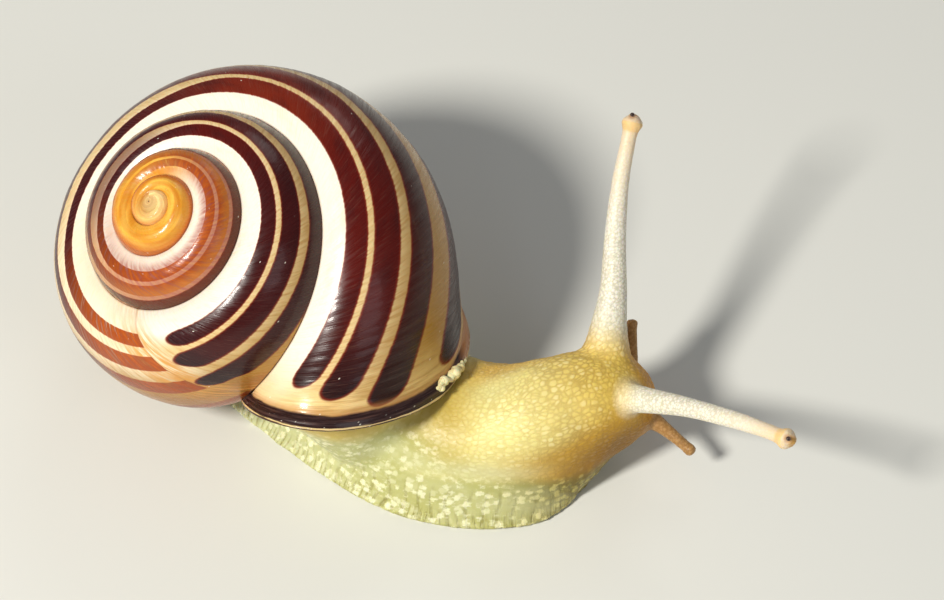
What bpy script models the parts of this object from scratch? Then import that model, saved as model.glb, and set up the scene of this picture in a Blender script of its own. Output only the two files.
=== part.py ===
"""Garden snail, life size: a brown-lipped banded grove snail crawling with its head raised.

The shell is one solid; the soft body is modelled whole and then parted with thin cuts.
Lengths below are in millimetres; the meshes are written in metres. The sole rests on z = 0,
the head looks along +X and the origin is on the sole under the mouth of the shell.
"""
import math

import bpy
import bmesh
from mathutils import Matrix, Vector

MM = 0.001
TURN = 2 * math.pi
GAP = 0.3             # clearance left by every cut and between the body and the shell

# ---- shell -------------------------------------------------------------------------------
SHELL_APEX = Vector((-12.43, 4.71, 14.39))   # top of the coiling axis
AXIS_HEADING = math.radians(-147.65)         # the axis leans back and to the animal's right
AXIS_ELEVATION = math.radians(57.67)
LIP_SPIN = math.radians(-32.93)              # where the growing edge meets the last suture
WHORLS = 4.0
MOUTH_RADIUS = 7.945                         # axis to the middle of the last whorl section
MOUTH_HALF_WIDTH = 4.225
MOUTH_HALF_HEIGHT = 6.786
BASE_FLATTENING = 0.7                        # lower half of a section against the upper half
SPIRE_DROP = 10.71                           # apex to the middle of the last section
LIP_DROP, LIP_DROP_LENGTH = 3.76, 0.715      # the last whorl dips as it nears the lip
SHRINK, SHRINK_MORE = 0.0429, 0.0014         # size falls off going back along the spiral
RADIUS_POWER, HEIGHT_POWER, DROP_POWER = 1.372, 0.791, 1.468
SECTION_TILT = -0.164                        # radians, outer side low
BASE_DIMPLE = 0.55                           # how far the base rises towards the axis
LIP_SLANT, LIP_SLANT_MORE = 0.417, 0.0213    # radians of spiral per radian round the section
LIP_FLARE, LIP_FLARE_LENGTH = 0.29, 0.2      # the lip turns outward over its last stretch
BASE_SWEEP = 1.1                             # the lip's slant carried on across the base
PILLAR_RADIUS, PILLAR_TURN = 0.15, 1.25      # the closed axis seen inside the mouth
STEPS_PER_WHORL = 40
LIP_STEPS = (0.05, 0.1)                      # extra rows close behind the lip
SPIRE_COLUMNS, OUTER_COLUMNS, BASE_COLUMNS = 7, 16, 6
COLUMNS = OUTER_COLUMNS + BASE_COLUMNS
MOUTH_ROWS = 4

# ---- foot: x, y, half width of the sole, height of the back --------------------------------
FOOT = ((-15.9, 11.8, 0.25, 0.5), (-14.6, 10.7, 1.0, 1.0), (-12.0, 8.7, 1.8, 1.6),
        (-8.2, 6.0, 2.9, 2.6), (-3.9, 3.0, 3.8, 4.0), (0.3, 0.1, 3.95, 5.0),
        (3.3, -1.1, 3.9, 5.2), (6.3, -1.0, 3.7, 4.6), (8.7, -0.4, 2.75, 3.2),
        (9.8, 0.0, 1.6, 2.2), (10.4, 0.25, 0.5, 1.2))
FOOT_EDGE = 0.30      # thickness of the thin rim of the sole
FOOT_WAIST = 0.80     # width of the foot above the rim against the sole

# ---- neck and head: x, y, z of the middle, half width, half height -------------------------
NECK = ((-2.6, 3.6, 4.6, 2.3, 1.6), (-0.4, 1.6, 4.5, 3.0, 2.4), (3.0, 0.0, 3.3, 3.5, 2.25),
        (6.1, -0.7, 4.2, 3.0, 2.8), (8.5, -0.25, 4.75, 2.6, 2.55), (10.1, 0.4, 4.65, 2.45, 2.45),
        (11.5, 0.95, 4.15, 2.2, 2.3), (12.45, 1.35, 3.75, 1.65, 1.75),
        (12.95, 1.55, 3.5, 0.7, 0.8))

# ---- feelers: points along the middle, each with its radius --------------------------------
FAR_STALK = ((10.45, 1.6, 5.3, 1.5), (10.6, 2.9, 6.95, 1.05), (10.85, 4.3, 8.35, 0.74),
             (10.95, 6.4, 10.35, 0.59), (11.2, 8.4, 12.1, 0.48), (11.6, 10.05, 13.5, 0.42),
             (11.75, 10.55, 13.95, 0.43))
NEAR_STALK = ((10.9, 0.1, 4.9, 1.3), (11.8, -0.88, 5.9, 0.8), (14.35, -2.7, 7.5, 0.54),
              (16.75, -4.62, 8.84, 0.47), (18.2, -5.83, 9.54, 0.41), (19.0, -6.5, 9.84, 0.42))
FAR_FEELER = ((11.7, 1.9, 3.6, 0.5), (11.9, 2.9, 3.75, 0.38), (11.95, 4.0, 4.15, 0.30),
              (11.95, 5.0, 4.6, 0.28))
NEAR_FEELER = ((12.0, 0.8, 3.4, 0.55), (12.7, 0.1, 3.15, 0.42), (13.8, -0.6, 2.75, 0.34),
               (14.75, -1.25, 2.25, 0.32))
BULB_RADIUS, FEELER_TIP_RADIUS = 0.60, 0.36
STALK_ROOT, STALK_JOINT = 1.35, 3.4         # along a stalk: end of the head's stub, middle cut
FEELER_ROOT = 1.4
FAR_EYE_AIM, NEAR_EYE_AIM = Vector((-0.05, 0.1, 1.0)), Vector((0.0, -0.55, 0.8))
EYE_RADIUS = 0.14
EYE_SINK = 0.08       # how deep the middle of the eye lies under the skin of the bulb
EYE_GAP = 0.05

FOOT_SIDES, FOOT_RINGS = 18, 34
NECK_SIDES, NECK_RINGS = 22, 22
STALK_SIDES, FEELER_SIDES = 12, 10
TUBE_RINGS, BULB_RINGS = 3, 7

# ---- mantle: the flesh that fills the mouth of the shell ------------------------------------
MANTLE_FIT = 0.86     # its outline against the lip
MANTLE_RISE = 1.0     # carried up past the lip before the shell's room is cut out of it
MANTLE_FOOT = Vector((-1.8, 2.0, 1.6))      # middle of its lower end, inside the foot
MANTLE_TAPER = 0.55

# ---- cuts that part the body: a point on the centre line and the heading across it ----------
TAIL_CUT = (Vector((-8.2, 6.0, 0)), math.radians(-38))
MIDDLE_CUT = (Vector((1.4, -0.5, 0)), math.radians(-20))
NECK_CUT = (Vector((3.4, -0.5, 0)), math.radians(0))
HEAD_CUT = (Vector((9.75, 0.25, 0)), math.radians(22))
FOOT_TOP = 2.0        # the neck and the mantle start at this height
REACH = 60.0          # longer than the animal, for cutting blocks

SHELL_COLOUR = (0.80, 0.62, 0.34, 1)
FLESH_COLOUR = (0.72, 0.56, 0.27, 1)
FOOT_COLOUR = (0.70, 0.66, 0.42, 1)
FEELER_COLOUR = (0.75, 0.62, 0.46, 1)
EYE_COLOUR = (0.03, 0.02, 0.02, 1)


# ------------------------------------------------------------------------------ helpers ----
def clear_scene():
    for thing in list(bpy.data.objects):
        bpy.data.objects.remove(thing, do_unlink=True)


def material(name, colour, roughness):
    made = bpy.data.materials.new(name)
    made.use_nodes = True
    shader = made.node_tree.nodes["Principled BSDF"]
    shader.inputs["Base Color"].default_value = colour
    shader.inputs["Roughness"].default_value = roughness
    return made


def smooth_curve(points, t):
    """Catmull-Rom curve through equal-length tuples; t runs from 0 to len(points) - 1."""
    last = len(points) - 1
    start = min(int(t), last - 1)
    f = t - start
    before, here = points[max(start - 1, 0)], points[start]
    after, beyond = points[start + 1], points[min(start + 2, last)]
    value = []
    for p0, p1, p2, p3 in zip(before, here, after, beyond):
        value.append(0.5 * (2 * p1 + (p2 - p0) * f + (2 * p0 - 5 * p1 + 4 * p2 - p3) * f * f
                            + (3 * p1 - p0 - 3 * p2 + p3) * f ** 3))
    return value


def finish_mesh(bm, name):
    """Write a closed bmesh, given in millimetres, to a smooth-shaded object in metres."""
    bmesh.ops.remove_doubles(bm, verts=bm.verts, dist=0.0005)
    bmesh.ops.recalc_face_normals(bm, faces=bm.faces)
    bmesh.ops.scale(bm, vec=(MM, MM, MM), verts=bm.verts)
    if bm.calc_volume(signed=True) < 0:
        bmesh.ops.reverse_faces(bm, faces=bm.faces)
    mesh = bpy.data.meshes.new(name)
    bm.to_mesh(mesh)
    bm.free()
    mesh.shade_smooth()
    mesh.set_sharp_from_angle(angle=math.radians(50))
    made = bpy.data.objects.new(name, mesh)
    bpy.context.scene.collection.objects.link(made)
    return made


def loft(name, rings):
    """Closed skin over rings of equal length; both ends are closed with a flat face."""
    bm = bmesh.new()
    rows = [[bm.verts.new(point) for point in ring] for ring in rings]
    count = len(rows[0])
    for near, far in zip(rows, rows[1:]):
        for i in range(count):
            k = (i + 1) % count
            bm.faces.new((near[i], near[k], far[k], far[i]))
    bm.faces.new(rows[0])
    bm.faces.new(reversed(rows[-1]))
    return finish_mesh(bm, name)


def as_guide(thing):
    thing.hide_render = True
    thing.display_type = "WIRE"
    return thing


def cut(target, tool, operation):
    """Run a Boolean on target and keep the result in its mesh."""
    modifier = target.modifiers.new(operation.lower(), "BOOLEAN")
    modifier.operation = operation
    modifier.solver = "EXACT"
    modifier.object = tool
    bpy.context.view_layer.update()
    evaluated = target.evaluated_get(bpy.context.evaluated_depsgraph_get())
    mesh = bpy.data.meshes.new_from_object(evaluated)
    target.modifiers.clear()
    target.data = mesh
    return target


def remove(*things):
    for thing in things:
        bpy.data.objects.remove(thing, do_unlink=True)


# -------------------------------------------------------------------------------- shell ----
def section(back, grow=0.0):
    """Middle (radius, height) and half axes of the whorl section `back` radians from the lip."""
    size = math.exp(-SHRINK * back - SHRINK_MORE * back * back)
    dip = LIP_DROP * math.exp(-back / LIP_DROP_LENGTH)
    return (MOUTH_RADIUS * size ** RADIUS_POWER, -SPIRE_DROP * size ** DROP_POWER - dip,
            MOUTH_HALF_WIDTH * size + grow, MOUTH_HALF_HEIGHT * size ** HEIGHT_POWER + grow)


def section_point(back, angle, grow=0.0, scale=1.0):
    radius, height, wide, tall = section(back, grow)
    if math.sin(angle) < 0:
        tall *= BASE_FLATTENING
    across, up = wide * scale * math.cos(angle), tall * scale * math.sin(angle)
    return (radius + across * math.cos(SECTION_TILT) - up * math.sin(SECTION_TILT),
            height + across * math.sin(SECTION_TILT) + up * math.cos(SECTION_TILT))


def on_section(back, radius, height, grow):
    """The same point in units of the section's half axes."""
    middle_radius, middle_height, wide, tall = section(back, grow)
    dr, dz = radius - middle_radius, height - middle_height
    across = dr * math.cos(SECTION_TILT) + dz * math.sin(SECTION_TILT)
    up = dz * math.cos(SECTION_TILT) - dr * math.sin(SECTION_TILT)
    if up < 0:
        tall *= BASE_FLATTENING
    return across / wide, up / tall


def suture_angle(back, grow=0.0):
    """Angle on a section where it meets the whorl one turn further back."""
    low, high = math.radians(45), math.radians(200)
    for _ in range(40):
        middle = (low + high) / 2
        across, up = on_section(back + TURN, *section_point(back, middle, grow), grow)
        if across * across + up * up > 1:
            low = middle
        else:
            high = middle
    return (low + high) / 2


def covered_angle(back, grow=0.0):
    """Angle on a section where the next whorl out starts to cover it."""
    suture = section_point(back - TURN, suture_angle(back - TURN, grow), grow)
    across, up = on_section(back, *suture, grow)
    return math.atan2(up, across)


def shell_axis():
    level = math.cos(AXIS_ELEVATION)
    return Vector((level * math.cos(AXIS_HEADING), level * math.sin(AXIS_HEADING),
                   math.sin(AXIS_ELEVATION)))


def shell_place(back, radius, height):
    """Turn spiral coordinates into a point of the posed shell."""
    axis = shell_axis()
    first = Vector((0, 0, 1)).cross(axis).normalized()
    second = axis.cross(first)
    turn = LIP_SPIN + back
    ray = first * math.cos(turn) + second * math.sin(turn)
    return SHELL_APEX + ray * radius + axis * height


def spire_row(back, grow):
    top, bottom = suture_angle(back, grow), covered_angle(back, grow)
    return [shell_place(back, *section_point(back, top + (bottom - top) * k / SPIRE_COLUMNS, grow))
            for k in range(SPIRE_COLUMNS + 1)]


def last_whorl_row(edge_back, grow, flare=1.0):
    """One growth line of the last whorl, from the suture round the outside to the axis."""
    lean = 1 - edge_back / TURN
    top, true_top = suture_angle(edge_back, grow), suture_angle(edge_back)
    first_top = suture_angle(TURN, grow)
    shoulder = (first_top - covered_angle(TURN, grow)) / (first_top + math.pi / 2)
    row = []
    for column in range(COLUMNS + 1):
        outer = min(column, OUTER_COLUMNS)
        share = shoulder * outer / SPIRE_COLUMNS
        if outer > SPIRE_COLUMNS:
            below = (outer - SPIRE_COLUMNS) / (OUTER_COLUMNS - SPIRE_COLUMNS)
            share = shoulder + (1 - shoulder) * below
        angle = top - (top + math.pi / 2) * share
        swept = max(0.0, true_top - angle)
        inward = max(0.0, (column - OUTER_COLUMNS) / BASE_COLUMNS)
        lag = swept + BASE_SWEEP * inward
        back = edge_back + lean * (LIP_SLANT * lag + LIP_SLANT_MORE * lag * lag)
        curl = flare * LIP_FLARE * min(1.0, swept) * (1 - inward)
        radius, height = section_point(back, angle, grow, 1 + curl)
        if inward:
            quarter = inward * math.pi / 2
            radius *= 1 - inward
            height += section(back)[3] * BASE_FLATTENING * BASE_DIMPLE * (1 - math.cos(quarter))
        row.append(shell_place(back, radius, height))
    return row


def add_grid(bm, rows):
    made = [[bm.verts.new(point) for point in row] for row in rows]
    for near, far in zip(made, made[1:]):
        for k in range(len(near) - 1):
            bm.faces.new((near[k], near[k + 1], far[k + 1], far[k]))


def add_fan(bm, middle, loop):
    centre = bm.verts.new(middle)
    made = [bm.verts.new(point) for point in loop]
    for k in range(len(made)):
        bm.faces.new((made[k], made[(k + 1) % len(made)], centre))


def closing_rows(lip, parietal):
    """Rows that close the mouth from the lip to the wall of the whorl before."""
    rows = []
    for step in range(1, MOUTH_ROWS):
        share = step / MOUTH_ROWS
        rows.append([near.lerp(parietal[max(column - SPIRE_COLUMNS, 0)], share)
                     for column, near in enumerate(lip)])
    bottom, top = [(point - SHELL_APEX).dot(shell_axis()) for point in (lip[-1], parietal[-1])]
    for number, row in enumerate(rows):
        height = bottom + (top - bottom) * (number + 1) / (len(rows) + 1)
        row[0] = lip[0]
        row[-1] = shell_place(PILLAR_TURN, PILLAR_RADIUS, height)
    return rows


def build_shell(name, grow=0.0):
    """The shell with its mouth filled; a grown one cuts its room out of the body."""
    bm = bmesh.new()
    steps = sorted(set(LIP_STEPS) | {TURN * i / STEPS_PER_WHORL for i in range(STEPS_PER_WHORL)})
    backs = [step + TURN * turn for turn in range(5) for step in steps]
    total = int(len(steps) * WHORLS)
    last = [last_whorl_row(back, grow, math.exp(-back / LIP_FLARE_LENGTH))
            for back in backs[:len(steps) + 1]]
    if grow:
        last.insert(0, [last[0][0]] + last_whorl_row(-grow / MOUTH_RADIUS, grow)[1:])
    spire = [spire_row(back, grow) for back in backs[len(steps):total + 1]]
    add_grid(bm, last)
    add_grid(bm, spire)

    rim = [shell_place(back, *section_point(back, suture_angle(back, grow), grow))
           for back in backs[total - len(steps):total + 1]]
    nucleus, top = section_point(backs[total], math.pi / 2, grow)
    apex = shell_place(backs[total] + math.pi / 2, nucleus / 2, top)
    add_fan(bm, apex, rim + spire[-1][1:-1])

    parietal = last[-1][SPIRE_COLUMNS:]
    rows = closing_rows(last[0], parietal)
    padded = [last[-1][SPIRE_COLUMNS]] * SPIRE_COLUMNS + parietal
    add_grid(bm, [last[0]] + rows)
    add_grid(bm, [rows[-1], padded])
    pillar = [row[-1] for row in last] + [row[-1] for row in reversed(rows)]
    bm.faces.new([bm.verts.new(point) for point in pillar])
    return finish_mesh(bm, name)


# --------------------------------------------------------------------------------- body ----
def foot_ring(x, y, half_width, height, heading):
    """Flat sole, thin rim, then a rounded back; the rim stands out beyond the back."""
    side = Vector((math.sin(heading), -math.cos(heading), 0))
    edge = min(FOOT_EDGE, height / 3)
    ring = []
    for k in range(FOOT_SIDES + 1):
        turn = math.pi * k / FOOT_SIDES
        rise = math.sin(turn)
        rim = FOOT_WAIST + (1 - FOOT_WAIST) * math.exp(-rise * height / FOOT_EDGE)
        ring.append(Vector((x, y, edge + (height - edge) * rise))
                    + side * half_width * rim * math.cos(turn))
    for across in (-0.93, -0.45, 0.0, 0.45, 0.93):
        ring.append(Vector((x, y, 0)) + side * half_width * across)
    return ring


def heading_along(points, t):
    ahead = smooth_curve(points, min(t + 0.05, len(points) - 1))
    behind = smooth_curve(points, max(t - 0.05, 0))
    return math.atan2(ahead[1] - behind[1], ahead[0] - behind[0])


def build_foot():
    rings = []
    for k in range(FOOT_RINGS + 1):
        t = (len(FOOT) - 1) * k / FOOT_RINGS
        rings.append(foot_ring(*smooth_curve(FOOT, t), heading_along(FOOT, t)))
    return loft("foot_whole", rings)


def build_neck():
    rings = []
    for k in range(NECK_RINGS + 1):
        t = (len(NECK) - 1) * k / NECK_RINGS
        x, y, z, half_width, half_height = smooth_curve(NECK, t)
        heading = heading_along(NECK, t)
        side = Vector((math.sin(heading), -math.cos(heading), 0))
        ring = []
        for i in range(NECK_SIDES):
            turn = TURN * i / NECK_SIDES
            ring.append(Vector((x, y, z + half_height * math.sin(turn)))
                        + side * half_width * math.cos(turn))
        rings.append(ring)
    return loft("neck_whole", rings)


def tube(name, points, start, end, sides, tip_radius=0.0):
    """Round tube along a curve; with a tip radius it ends in a ball of that size."""
    rings, last = [], len(points) - 1
    steps = max(4, int((end - start) * TUBE_RINGS))
    frame = None
    for k in range(steps + 1):
        t = start + (end - start) * k / steps
        x, y, z, radius = smooth_curve(points, t)
        ahead = Vector(smooth_curve(points, min(t + 0.05, last))[:3])
        behind = Vector(smooth_curve(points, max(t - 0.05, 0))[:3])
        frame = frame_along(ahead - behind, frame)
        rings.append(ring_about(Vector((x, y, z)), frame, radius, sides))
    if tip_radius:
        centre, first = bulb_centre(points, tip_radius), math.asin(points[-1][3] / tip_radius)
        for k in range(1, BULB_RINGS):
            turn = first + (math.pi - first) * k / BULB_RINGS
            middle = centre - frame[2] * tip_radius * math.cos(turn)
            rings.append(ring_about(middle, frame, tip_radius * math.sin(turn), sides))
    return loft(name, rings)


def frame_along(direction, last_frame):
    along = direction.normalized()
    side = last_frame[0] if last_frame else Vector((0.3, -0.4, 1.0))
    side = (side - along * side.dot(along)).normalized()
    return side, along.cross(side), along


def ring_about(centre, frame, radius, sides):
    return [centre + frame[0] * radius * math.cos(TURN * i / sides)
            + frame[1] * radius * math.sin(TURN * i / sides) for i in range(sides)]


def build_mantle(name):
    """Flesh that rises out of the foot to fill the mouth of the shell up to the lip."""
    lip = last_whorl_row(0.0, 0.0)[1:-1]
    middle = sum(lip, Vector()) / len(lip)
    rim = [middle + (point - middle) * MANTLE_FIT for point in lip]
    top = [point + Vector((0, 0, MANTLE_RISE)) for point in rim]
    bottom = [MANTLE_FOOT + (point - middle) * MANTLE_TAPER for point in rim]
    for point in bottom:
        point.z = MANTLE_FOOT.z
    half = [low.lerp(high, 0.6) for low, high in zip(bottom, rim)]
    return loft(name, [bottom, half, rim, top])


def block(name, place, heading, size, height):
    """Cutting block: size along the heading, REACH across it, between two heights."""
    bm = bmesh.new()
    turn = Matrix.Rotation(heading, 4, "Z")
    low, high = height
    scale = Matrix.Diagonal((size, REACH, high - low, 1))
    middle = Matrix.Translation((place.x, place.y, (low + high) / 2))
    bmesh.ops.create_cube(bm, size=1, matrix=middle @ turn @ scale)
    return as_guide(finish_mesh(bm, name))


def cutting_blocks():
    tail_place, tail_heading = TAIL_CUT
    forward = Vector((math.cos(tail_heading), math.sin(tail_heading), 0))
    low, high = FOOT_TOP - GAP / 2, FOOT_TOP + GAP / 2
    return [block("cut_tail", tail_place, tail_heading, GAP, (-1, REACH)),
            block("cut_level", tail_place + forward * REACH / 2, tail_heading, REACH, (low, high)),
            block("cut_middle", *MIDDLE_CUT, GAP, (-1, FOOT_TOP)),
            block("cut_neck", *NECK_CUT, GAP, (FOOT_TOP, REACH)),
            block("cut_head", *HEAD_CUT, GAP, (FOOT_TOP, REACH))]


def ahead_of(point, plane):
    place, heading = plane
    return (point - place).dot(Vector((math.cos(heading), math.sin(heading), 0))) > 0


def piece_name(point):
    if not ahead_of(point, TAIL_CUT):
        return "foot_tail"
    if point.z < FOOT_TOP:
        return "foot_front" if ahead_of(point, MIDDLE_CUT) else "foot_middle"
    if not ahead_of(point, NECK_CUT):
        return "mantle"
    return "head" if ahead_of(point, HEAD_CUT) else "neck"


def loose_groups(bm):
    left, groups = set(bm.verts), []
    while left:
        stack, group = [left.pop()], set()
        while stack:
            vert = stack.pop()
            group.add(vert)
            for edge in vert.link_edges:
                other = edge.other_vert(vert)
                if other in left:
                    left.remove(other)
                    stack.append(other)
        groups.append(group)
    return groups


def split_body(whole):
    """Turn each loose length of the cut body into a node of its own."""
    source = bmesh.new()
    source.from_mesh(whole.data)
    biggest = {}
    for group in loose_groups(source):
        middle = sum((vert.co for vert in group), Vector()) / len(group) / MM
        name = piece_name(middle)
        if name not in biggest or len(group) > len(biggest[name]):
            biggest[name] = group
    for name, group in sorted(biggest.items()):
        indices = {vert.index for vert in group}
        part = source.copy()
        part.verts.ensure_lookup_table()
        spare = [vert for vert in part.verts if vert.index not in indices]
        bmesh.ops.delete(part, geom=spare, context="VERTS")
        bmesh.ops.scale(part, vec=(1 / MM, 1 / MM, 1 / MM), verts=part.verts)
        finish_mesh(part, name)
    source.free()


def build_body():
    whole = build_foot()
    pieces = [build_neck(), build_mantle("mantle_whole"),
              tube("stub_a", FAR_STALK, 0, STALK_ROOT, STALK_SIDES),
              tube("stub_b", NEAR_STALK, 0, STALK_ROOT, STALK_SIDES),
              tube("stub_c", FAR_FEELER, 0, FEELER_ROOT, FEELER_SIDES),
              tube("stub_d", NEAR_FEELER, 0, FEELER_ROOT, FEELER_SIDES)]
    for piece in pieces:
        cut(whole, piece, "UNION")
    clearance = build_shell("clearance", GAP)
    cut(whole, clearance, "DIFFERENCE")
    blocks = cutting_blocks()
    for tool in blocks:
        cut(whole, tool, "DIFFERENCE")
    split_body(whole)
    remove(whole, clearance, *pieces, *blocks)


def length_share(points, t, distance):
    """Step in t that moves `distance` along the curve from t."""
    here = Vector(smooth_curve(points, t)[:3])
    ahead = Vector(smooth_curve(points, t + 0.1)[:3])
    return 0.1 * distance / (ahead - here).length


def ball(name, centre, radius, rings):
    bm = bmesh.new()
    bmesh.ops.create_uvsphere(bm, u_segments=rings * 2, v_segments=rings, radius=radius)
    bmesh.ops.translate(bm, vec=centre, verts=bm.verts)
    return finish_mesh(bm, name)


def bulb_centre(points, tip_radius):
    tip, before = smooth_curve(points, len(points) - 1), smooth_curve(points, len(points) - 1.05)
    along = (Vector(tip[:3]) - Vector(before[:3])).normalized()
    return Vector(tip[:3]) + along * math.sqrt(tip_radius ** 2 - tip[3] ** 2)


def build_stalk(side, points, aim):
    root = STALK_ROOT + length_share(points, STALK_ROOT, GAP)
    joint = STALK_JOINT + length_share(points, STALK_JOINT, GAP)
    lower = tube("eyestalk_" + side + "_lower", points, root, STALK_JOINT, STALK_SIDES)
    upper = tube("eyestalk_" + side + "_upper", points, joint, len(points) - 1, STALK_SIDES,
                 BULB_RADIUS)
    place = bulb_centre(points, BULB_RADIUS) + aim.normalized() * (BULB_RADIUS - EYE_SINK)
    pocket = ball("pocket", place, EYE_RADIUS + EYE_GAP, 6)
    cut(upper, pocket, "DIFFERENCE")
    remove(pocket)
    eye = ball("eye_" + side, place, EYE_RADIUS, 6)
    return lower, upper, eye


def build_feeler(side, points):
    root = FEELER_ROOT + length_share(points, FEELER_ROOT, GAP)
    return tube("feeler_" + side, points, root, len(points) - 1, FEELER_SIDES, FEELER_TIP_RADIUS)


def paint():
    looks = {"shell": (SHELL_COLOUR, 0.25), "eye": (EYE_COLOUR, 0.2),
             "foot": (FOOT_COLOUR, 0.45), "eyestalk": (FEELER_COLOUR, 0.35),
             "feeler": (FEELER_COLOUR, 0.35)}
    for thing in bpy.data.objects:
        colour, roughness = looks.get(thing.name.split("_")[0], (FLESH_COLOUR, 0.4))
        thing.data.materials.clear()
        thing.data.materials.append(material(thing.name, colour, roughness))


clear_scene()
build_shell("shell")
build_body()
build_stalk("left", FAR_STALK, FAR_EYE_AIM)
build_stalk("right", NEAR_STALK, NEAR_EYE_AIM)
build_feeler("left", FAR_FEELER)
build_feeler("right", NEAR_FEELER)
paint()
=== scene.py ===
"""Looks of the banded grove snail: glossy banded shell, one moist skin, eyes and studio.

Shapes are worked out in millimetres and written in metres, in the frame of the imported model.
"""
import math
from itertools import product

import bmesh
import bpy
import numpy as np
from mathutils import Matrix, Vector, noise


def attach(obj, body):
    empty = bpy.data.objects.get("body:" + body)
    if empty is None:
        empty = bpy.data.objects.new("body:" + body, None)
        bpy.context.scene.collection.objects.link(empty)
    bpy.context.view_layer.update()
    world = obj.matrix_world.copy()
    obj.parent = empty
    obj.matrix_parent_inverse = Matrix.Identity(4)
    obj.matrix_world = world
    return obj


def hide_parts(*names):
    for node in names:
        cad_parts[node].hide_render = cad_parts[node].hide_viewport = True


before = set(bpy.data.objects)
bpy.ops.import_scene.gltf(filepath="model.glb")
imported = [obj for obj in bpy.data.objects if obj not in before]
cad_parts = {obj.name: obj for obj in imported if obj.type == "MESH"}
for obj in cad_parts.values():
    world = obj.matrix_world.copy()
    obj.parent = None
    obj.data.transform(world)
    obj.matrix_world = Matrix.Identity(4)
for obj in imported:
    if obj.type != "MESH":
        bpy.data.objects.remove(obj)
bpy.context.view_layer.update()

MM = 0.001
TURN = 2 * math.pi
UPWARD = np.array((0, 0, 1.0))

# ---- camera, in millimetres ----
CAMERA_AIM = (3.5, 5, 6.8)
CAMERA_ELEVATION = math.radians(50)
CAMERA_DISTANCE = 228.63
CAMERA_LENS, SENSOR_WIDTH = 166.4, 36

# ---- shell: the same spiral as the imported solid, drawn finer ----
SHELL_APEX = np.array((-12.43, 4.71, 14.39))
AXIS_HEADING = math.radians(-147.65)
AXIS_ELEVATION = math.radians(57.67)
LIP_SPIN = math.radians(-32.93)
WHORLS = 4.5
MOUTH_RADIUS = 7.945
MOUTH_HALF_WIDTH = 4.225
MOUTH_HALF_HEIGHT = 6.786
BASE_FLATTENING = 0.7
SPIRE_DROP = 10.71
LIP_DROP, LIP_DROP_LENGTH = 3.76, 0.715
SHRINK, SHRINK_MORE = 0.0429, 0.0014
RADIUS_POWER, HEIGHT_POWER, DROP_POWER = 1.372, 0.791, 1.468
APEX_RISE, APEX_RISE_LENGTH = 0.36, 6.0  # the first whorls stand up as a blunt dome
SECTION_TILT = -0.164
TILT_COS, TILT_SIN = math.cos(SECTION_TILT), math.sin(SECTION_TILT)
BASE_DIMPLE = 0.55
LIP_SLANT, LIP_SLANT_MORE = 0.417, 0.0213
LIP_FLARE, LIP_FLARE_LENGTH = 0.27, 0.2
BASE_SWEEP = 1.1
LIP_THICKNESS = 0.42
LAST_ROWS, SPIRE_ROWS = 900, 500  # rows to a turn
RIM_ROWS, WALL_ROWS = 8, 24
MOUTH_DEPTH = 0.45  # radians of spiral seen inside the mouth
APEX_TIP = 1.15  # height of the apex over its starting point
REST_LINE, REST_SLANT = 5.74, 0.12  # where growth paused for a winter, in radians
BAND_SWING, SWING_START = 7.5, 0.69  # degrees by which the bands ride up and down
# seed, height and spacing of the growth ridges: the main, the finer and the broader ones
RIDGES = ((1, 0.012, 0.34), (4, 0.006, 0.17), (5, 0.02, 1.9))
# height, distance and half width of the swelling at the lip, the groove behind it and the rest
LIP_SWELL, LIP_GROOVE, REST_GROOVE = (0.07, 0.38, 0.26), (0.05, 0.95, 0.22), (0.03, 0, 0.18)
SPIRE_COLUMNS, OUTER_COLUMNS, BASE_COLUMNS = 24, 60, 20

# centre and half width in degrees round the whorl, and where the band stops short of the lip
BANDS = ((76, 8.2, 2.4), (54.5, 9.4, 1.8), (29, 9.2, 1), (-11, 15, 1.2), (-52, 13, 1.2))
TIP_ROUND = 1.1
FAR_FROM_COVER = 90.0  # for points that no later whorl covers

# ---- foot: x, y, half width of the sole, height of the back ----
FOOT = ((-15.9, 11.8, 0.25, 0.5), (-14.6, 10.7, 1.0, 1.0), (-12.0, 8.7, 1.8, 1.6),
        (-8.2, 6.0, 2.9, 2.6), (-3.9, 3.0, 3.8, 4.0), (0.3, 0.0, 4.05, 4.4),
        (3.3, -1.1, 3.95, 4.4), (6.3, -1.0, 3.75, 4.2), (8.5, -0.45, 2.35, 3.2),
        (9.5, -0.1, 1.25, 2.2), (9.95, 0.1, 0.4, 1.2))
FOOT_EDGE, FOOT_WAIST = 0.3, 0.8
FOOT_ROWS, SOLE_POINTS = 150, 21

# ---- neck and head: x, then y, z, half width and half height of the back; then y, half width
# and height of the lower edge
NECK = ((-2.6, 3.6, 4.4, 2.3, 1.6, 2.2, 3.0, 1.4), (-0.4, 1.7, 4.0, 3.0, 2.2, 0.6, 3.5, 0.8),
        (3.0, 0.2, 3.1, 3.5, 2.25, -1.0, 3.6, 0.6), (6.1, -0.7, 4.2, 2.95, 2.75, -1.0, 3.4, 0.6),
        (8.5, -0.25, 4.75, 2.6, 2.5, -0.4, 2.4, 0.5), (10.1, 0.4, 4.65, 2.45, 2.4, 0.3, 1.1, 0.9),
        (11.5, 0.95, 4.2, 2.2, 2.2, 0.9, 1.2, 1.75),
        (12.45, 1.35, 3.8, 1.65, 1.7, 1.35, 0.9, 2.25),
        (12.95, 1.55, 3.55, 0.7, 0.8, 1.55, 0.4, 2.9))
NECK_ROWS, BELLY_POINTS = 110, 15

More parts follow.
